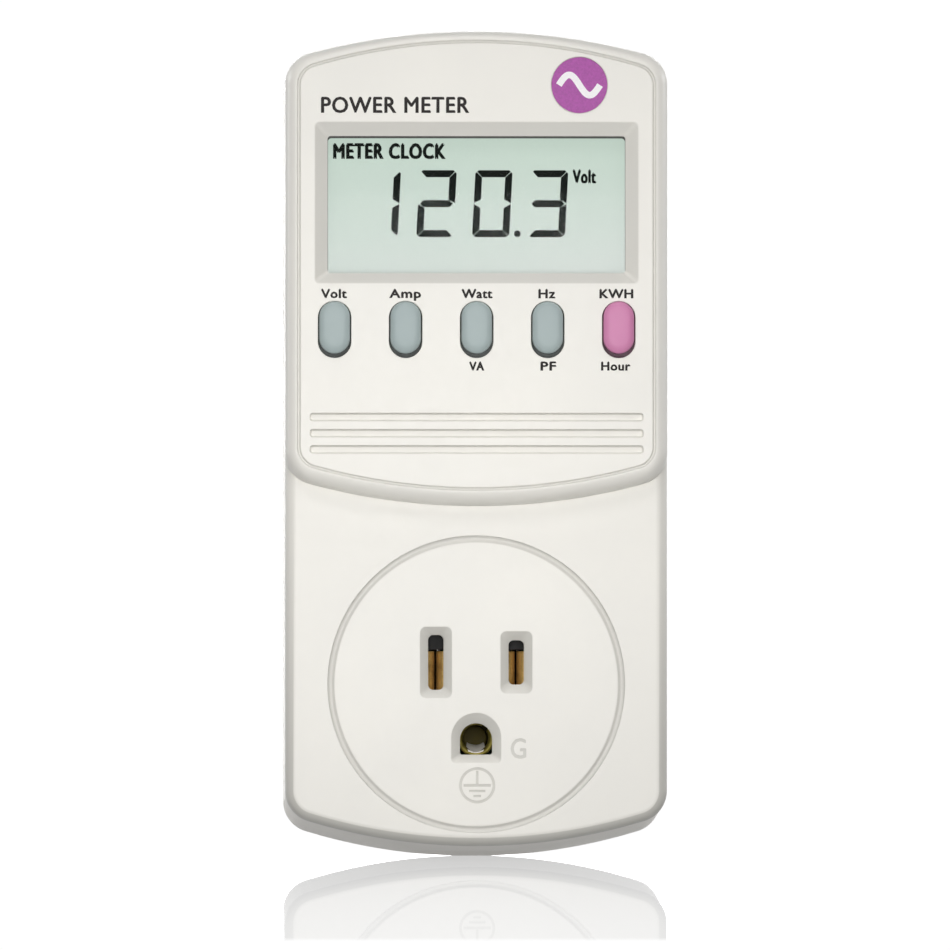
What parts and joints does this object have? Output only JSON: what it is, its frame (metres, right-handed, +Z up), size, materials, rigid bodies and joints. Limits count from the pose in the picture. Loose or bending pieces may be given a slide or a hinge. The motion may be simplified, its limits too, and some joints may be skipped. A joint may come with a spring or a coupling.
{
  "type": "plug-in power meter",
  "caption": "Plug-in energy monitor with an LCD, push buttons and a pass-through three-pin outlet, in a two-part case that plugs straight into a wall socket.",
  "frame": {"origin": "on the back face of the case (the wall plate's plane), midway between the two flat blades of the plug", "axes": "+Z up along the case's height, the front with the display faces -Y, the plug points along +Y"},
  "size_m": [0.0604, 0.0635, 0.1303],
  "materials": {
    "case_front": "fine-textured moulded plastic, warm white",
    "case_back": "fine-textured moulded plastic, warm white",
    "outlet_plastic": "fine-textured moulded plastic, warm white",
    "window_clear": "clear acrylic, polished",
    "tape_black": "black foam adhesive tape",
    "frame_plastic": "plain moulded plastic",
    "lcd_glass": "grey-green liquid crystal glass",
    "lcd_silver": "satin reflector film",
    "zebra_rubber": "striped conductive rubber",
    "board_green": "glass-fibre board with green solder mask",
    "chip_black": "moulded epoxy",
    "crystal_can": "drawn metal can",
    "header_cream": "moulded nylon",
    "button_grey": "satin moulded plastic, blue grey",
    "button_pink": "satin moulded plastic, pink",
    "plunger_black": "moulded nylon",
    "switch_dark": "moulded nylon",
    "block_black": "moulded thermoset",
    "contact_brass": "formed brass strip",
    "plug_metal": "nickel-plated brass",
    "clamp_plastic": "moulded nylon",
    "shunt_alloy": "copper-manganese resistance strip",
    "capacitor_yellow": "yellow boxed film capacitor",
    "varistor_blue": "blue epoxy coating",
    "capacitor_sleeve": "shrink sleeve",
    "resistor_blue": "flameproof lacquer",
    "resistor_tan": "tan lacquer",
    "ribbon_grey": "flat flexible cable",
    "screw_steel": "zinc-plated steel",
    "label_silver": "plain silver film label",
    "badge_purple": "purple film disc"
  },
  "bodies": {
    "meter_case": {"front_shell": "case_front", "rear_shell": "case_back", "display_window": "window_clear", "window_tape": "tape_black", "lcd_frame": "frame_plastic", "lcd_glass": "lcd_glass", "lcd_reflector": "lcd_silver", "zebra_strip": "zebra_rubber", "display_board": "board_green", "controller_chip": "chip_black", "memory_chip": "chip_black", "clock_crystal": "crystal_can", "display_header": "header_cream", "switch_bodies": "switch_dark", "outlet_face": "outlet_plastic", "contact_block": "block_black", "hot_contact": "contact_brass", "neutral_contact": "contact_brass", "ground_contact": "contact_brass", "plug_blade_hot": "plug_metal", "plug_blade_neutral": "plug_metal", "plug_ground_pin": "plug_metal", "blade_clamp": "clamp_plastic", "main_board": "board_green", "shunt_strip": "shunt_alloy", "dropper_capacitor": "capacitor_yellow", "surge_varistor": "varistor_blue", "smoothing_capacitors": "capacitor_sleeve", "dropper_resistor": "resistor_blue", "rectifier_diodes": "chip_black", "amplifier_chip": "chip_black", "voltage_regulator": "chip_black", "small_resistors": "resistor_tan", "main_header": "header_cream", "ribbon_cable": "ribbon_grey", "case_screws": "screw_steel", "main_board_screws": "screw_steel", "display_board_screws": "screw_steel", "blade_clamp_screws": "screw_steel", "contact_block_screws": "screw_steel", "rear_label": "label_silver", "front_badge": "badge_purple"},
    "volt_key": {"button_volt": "button_grey", "plunger_volt": "plunger_black"},
    "amp_key": {"button_amp": "button_grey", "plunger_amp": "plunger_black"},
    "watt_key": {"button_watt": "button_grey", "plunger_watt": "plunger_black"},
    "hz_key": {"button_hz": "button_grey", "plunger_hz": "plunger_black"},
    "kwh_key": {"button_kwh": "button_pink", "plunger_kwh": "plunger_black"}
  },
  "joints": [
    {"name": "press_volt", "type": "slide", "parent": "meter_case", "child": "volt_key", "axis": [0, 1, 0], "range_m": [0, 0.0007], "stiffness_N_per_m": 8},
    {"name": "press_amp", "type": "slide", "parent": "meter_case", "child": "amp_key", "axis": [0, 1, 0], "range_m": [0, 0.0007], "stiffness_N_per_m": 8},
    {"name": "press_watt", "type": "slide", "parent": "meter_case", "child": "watt_key", "axis": [0, 1, 0], "range_m": [0, 0.0007], "stiffness_N_per_m": 8},
    {"name": "press_hz", "type": "slide", "parent": "meter_case", "child": "hz_key", "axis": [0, 1, 0], "range_m": [0, 0.0007], "stiffness_N_per_m": 8},
    {"name": "press_kwh", "type": "slide", "parent": "meter_case", "child": "kwh_key", "axis": [0, 1, 0], "range_m": [0, 0.0007], "stiffness_N_per_m": 8}
  ]
}
